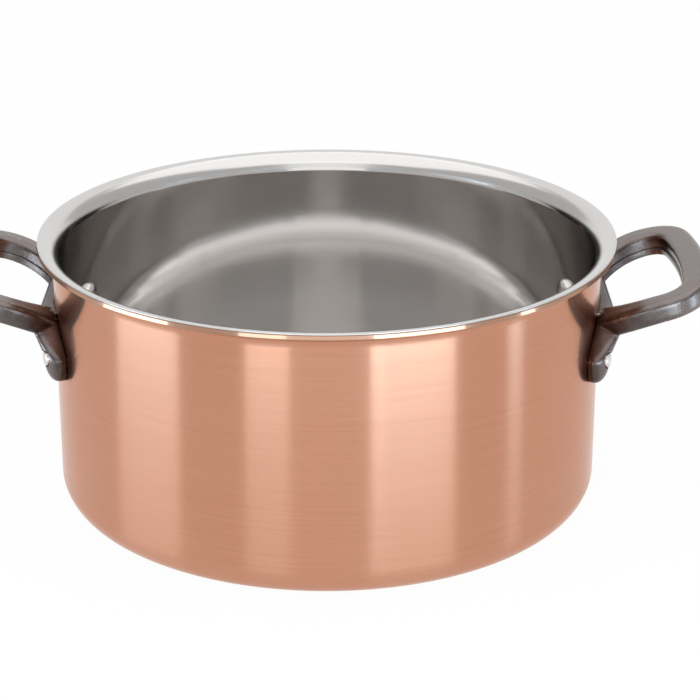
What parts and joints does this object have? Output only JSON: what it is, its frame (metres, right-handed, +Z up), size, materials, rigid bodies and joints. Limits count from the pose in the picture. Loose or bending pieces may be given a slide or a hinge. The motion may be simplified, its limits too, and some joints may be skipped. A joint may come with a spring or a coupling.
{
  "type": "copper casserole",
  "caption": "Straight-sided round copper cooking pot with a stainless lining, an out-rolled pouring rim and riveted cast-iron loop handles, without a lid.",
  "frame": {"origin": "middle of the base, on the surface that the pot stands on", "axes": "+Z up along the pot's axis, +X through the middle of one handle, the other handle on -X"},
  "size_m": [0.3338, 0.253, 0.1195],
  "materials": {
    "copper": "fine horizontal brushing, polished, soft vertical bands of reflection",
    "lining_steel": "satin stainless, polished over the rolled rim",
    "cast_iron": "bare sand-cast iron, rough, worn smooth on the grip",
    "rivet_steel": "bright where polished inside, dull where hammered outside"
  },
  "bodies": {
    "root": {"copper_shell": "copper", "steel_lining": "lining_steel", "handle_right": "cast_iron", "handle_left": "cast_iron", "rivet_right_front": "rivet_steel", "rivet_right_back": "rivet_steel", "rivet_left_front": "rivet_steel", "rivet_left_back": "rivet_steel"}
  },
  "joints": []
}
